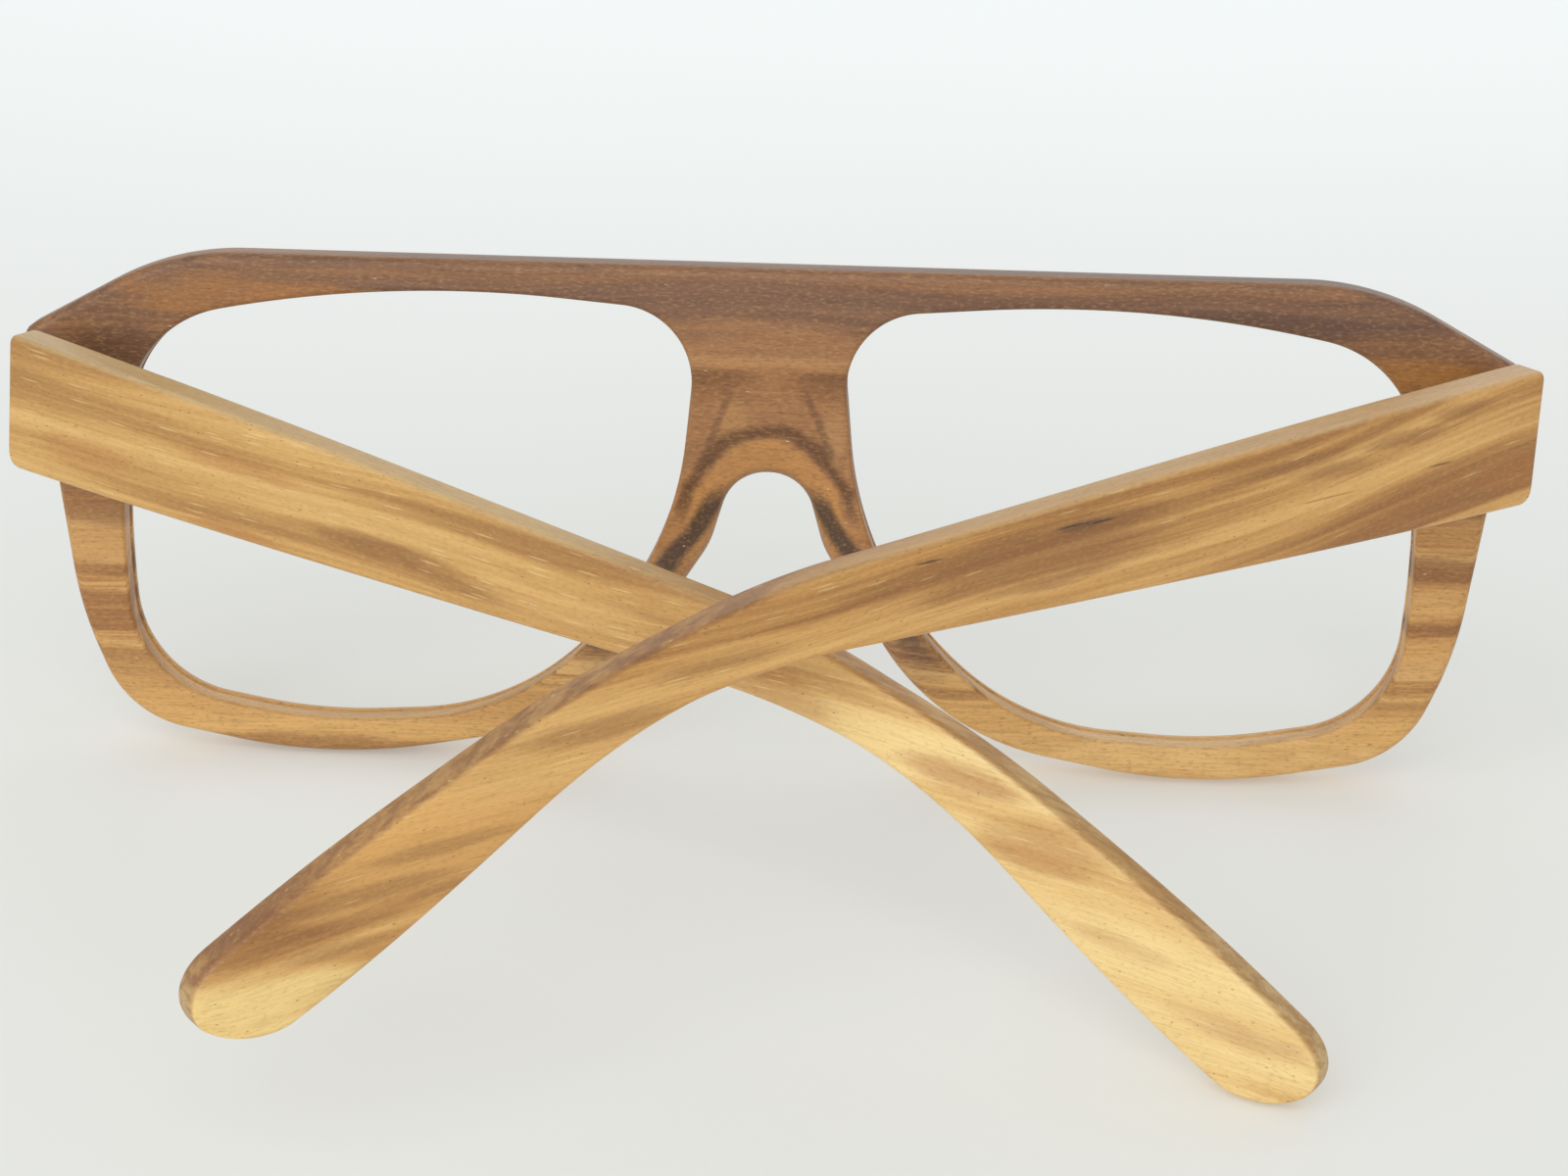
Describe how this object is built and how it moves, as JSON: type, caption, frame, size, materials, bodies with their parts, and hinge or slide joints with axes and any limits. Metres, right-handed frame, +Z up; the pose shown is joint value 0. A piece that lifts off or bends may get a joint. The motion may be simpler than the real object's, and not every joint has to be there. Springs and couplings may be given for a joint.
{
  "type": "wooden spectacle frame",
  "caption": "Full-rim wooden spectacle frame, folded: wide rounded rectangular rims grooved for lenses, a carved nose saddle, and bent tapered temples on barrel hinges.",
  "frame": {"origin": "middle of the footprint on the surface the folded frame stands on", "axes": "+X to the wearer's right, +Y forward out of the front, +Z up"},
  "size_m": [0.1452, 0.0914, 0.0495],
  "materials": {
    "front_wood": "satin oiled, dark brow to honey rims",
    "temple_wood": "satin oiled, golden",
    "hinge_metal": "satin nickel silver",
    "screw_metal": "satin"
  },
  "bodies": {
    "front_assembly": {"front": "front_wood", "front_hinge_leaf_left": "hinge_metal", "front_hinge_leaf_right": "hinge_metal", "hinge_pivot_screw_left": "screw_metal", "hinge_pivot_screw_right": "screw_metal", "front_leaf_screw_left_upper": "screw_metal", "front_leaf_screw_left_lower": "screw_metal", "front_leaf_screw_right_upper": "screw_metal", "front_leaf_screw_right_lower": "screw_metal"},
    "left_temple_assembly": {"temple_left": "temple_wood", "temple_hinge_leaf_left": "hinge_metal", "temple_leaf_screw_left_near": "screw_metal", "temple_leaf_screw_left_far": "screw_metal"},
    "right_temple_assembly": {"temple_right": "temple_wood", "temple_hinge_leaf_right": "hinge_metal", "temple_leaf_screw_right_near": "screw_metal", "temple_leaf_screw_right_far": "screw_metal"}
  },
  "joints": [
    {"name": "right_temple_fold", "type": "hinge", "parent": "front_assembly", "child": "right_temple_assembly", "pos_m": [0.06637, 0.03501, 0.03655], "axis": [0.0419, 0.1648, 0.9854], "range_deg": [0, 61.5]},
    {"name": "left_temple_fold", "type": "hinge", "parent": "front_assembly", "child": "left_temple_assembly", "pos_m": [-0.06683, 0.03481, 0.03536], "axis": [-0.0419, -0.1648, -0.9854], "range_deg": [0, 70.8]}
  ],
  "couplings": [
    {"joint": "left_temple_fold", "follows": "right_temple_fold", "ratio": 1.15}
  ]
}
